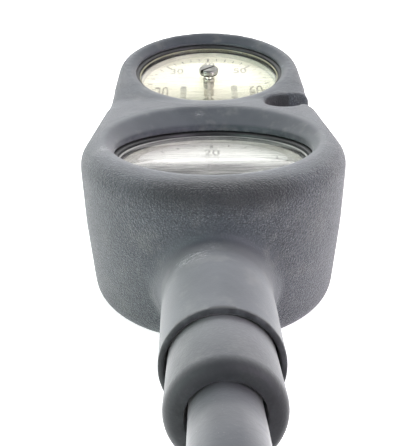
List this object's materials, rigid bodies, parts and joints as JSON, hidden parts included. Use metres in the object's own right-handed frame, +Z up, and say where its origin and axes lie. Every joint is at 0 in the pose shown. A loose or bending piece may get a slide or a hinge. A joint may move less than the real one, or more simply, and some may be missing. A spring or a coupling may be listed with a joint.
{
  "type": "two-gauge diving console with high-pressure hose",
  "caption": "Rubber boot holding a pressure gauge and a depth gauge in line, with a lanyard notch, a neck and a swivelling high-pressure hose ending in a threaded fitting.",
  "frame": {"origin": "centre of the flat base under the pressure gauge", "axes": "+Z up through the gauge faces, +Y from the hose towards the depth gauge, +X to the side with the lanyard notch"},
  "size_m": [0.1826, 0.3744, 0.0618],
  "materials": {
    "boot_rubber": "matte, pebble grain on the walls, smooth on the top and neck",
    "plated_brass": "satin nickel plate",
    "seal_rubber": "satin black",
    "clear_lens": "clear moulded plastic, scratched",
    "bezel_plastic": "satin black",
    "white_dial": "white print",
    "steel": "turned",
    "brass": "turned",
    "bronze": "drawn tube",
    "black_paint": "matte black",
    "case_plastic": "moulded, pale",
    "luminous_dial": "pale luminous cream",
    "hand_paint": "faded grey",
    "knob_metal": "worn, dark edge",
    "chrome_brass": "plated",
    "sleeve_rubber": "satin, rounded end",
    "hose_rubber": "smooth, semi gloss"
  },
  "bodies": {
    "console": {"console_boot": "boot_rubber", "pressure_case": "plated_brass", "pressure_lens_seal": "seal_rubber", "pressure_lens": "clear_lens", "pressure_bezel": "bezel_plastic", "pressure_dial": "white_dial", "pressure_dial_screws": "steel", "pressure_movement_frame": "brass", "pressure_bourdon_tube": "bronze", "pressure_stem": "brass", "pressure_relief_plug": "seal_rubber", "depth_case": "case_plastic", "depth_lens_seal": "seal_rubber", "depth_lens": "clear_lens", "depth_bezel": "bezel_plastic", "depth_dial": "luminous_dial", "depth_dial_screws": "steel", "depth_movement_frame": "brass", "depth_bourdon_tube": "bronze", "depth_port": "brass", "swivel_spool": "brass", "swivel_spool_seals": "seal_rubber"},
    "pressure_pointer": {"pressure_needle": "black_paint", "pressure_pinion": "brass"},
    "pressure_sector": {"pressure_sector_gear": "brass", "pressure_link": "steel"},
    "depth_pointer": {"depth_needle": "hand_paint", "depth_pinion": "brass"},
    "depth_sector": {"depth_sector_gear": "brass", "depth_link": "steel"},
    "max_depth_hand": {"max_depth_pointer": "hand_paint", "reset_knob": "knob_metal", "reset_knob_seal": "seal_rubber"},
    "hose": {"hose_end_fitting": "chrome_brass", "hose_ferrule": "chrome_brass", "hose_sleeve": "sleeve_rubber", "hose_tube": "hose_rubber", "hose_coil": "hose_rubber", "hose_tail": "hose_rubber", "far_ferrule": "chrome_brass", "first_stage_fitting": "chrome_brass", "first_stage_seal": "seal_rubber"}
  },
  "joints": [
    {"name": "pressure_needle_turn", "type": "hinge", "parent": "console", "child": "pressure_pointer", "pos_m": [0, -0.00084, 0.03629], "axis": [0, -0.0958, -0.9954], "range_deg": [0, 270]},
    {"name": "pressure_sector_turn", "type": "hinge", "parent": "console", "child": "pressure_sector", "pos_m": [-0.01548, -0.0122, 0.03136], "axis": [0, -0.0958, -0.9954], "range_deg": [-45, 0]},
    {"name": "depth_needle_turn", "type": "hinge", "parent": "console", "child": "depth_pointer", "pos_m": [0, 0.07734, 0.04454], "axis": [0, 0.1925, -0.9813], "range_deg": [0, 270]},
    {"name": "depth_sector_turn", "type": "hinge", "parent": "console", "child": "depth_sector", "pos_m": [-0.01548, 0.06786, 0.03657], "axis": [0, 0.1925, -0.9813], "range_deg": [-45, 0]},
    {"name": "max_depth_reset", "type": "hinge", "parent": "console", "child": "max_depth_hand", "pos_m": [0, 0.07638, 0.04945], "axis": [0, 0.1925, -0.9813], "range_deg": [0, 270]},
    {"name": "hose_swivel", "type": "hinge", "parent": "console", "child": "hose", "pos_m": [0, -0.0783, 0.027], "axis": [0, -0.9829, 0.184], "continuous": true}
  ],
  "couplings": [
    {"joint": "pressure_sector_turn", "follows": "pressure_needle_turn", "ratio": -0.16667},
    {"joint": "depth_sector_turn", "follows": "depth_needle_turn", "ratio": -0.16667}
  ]
}
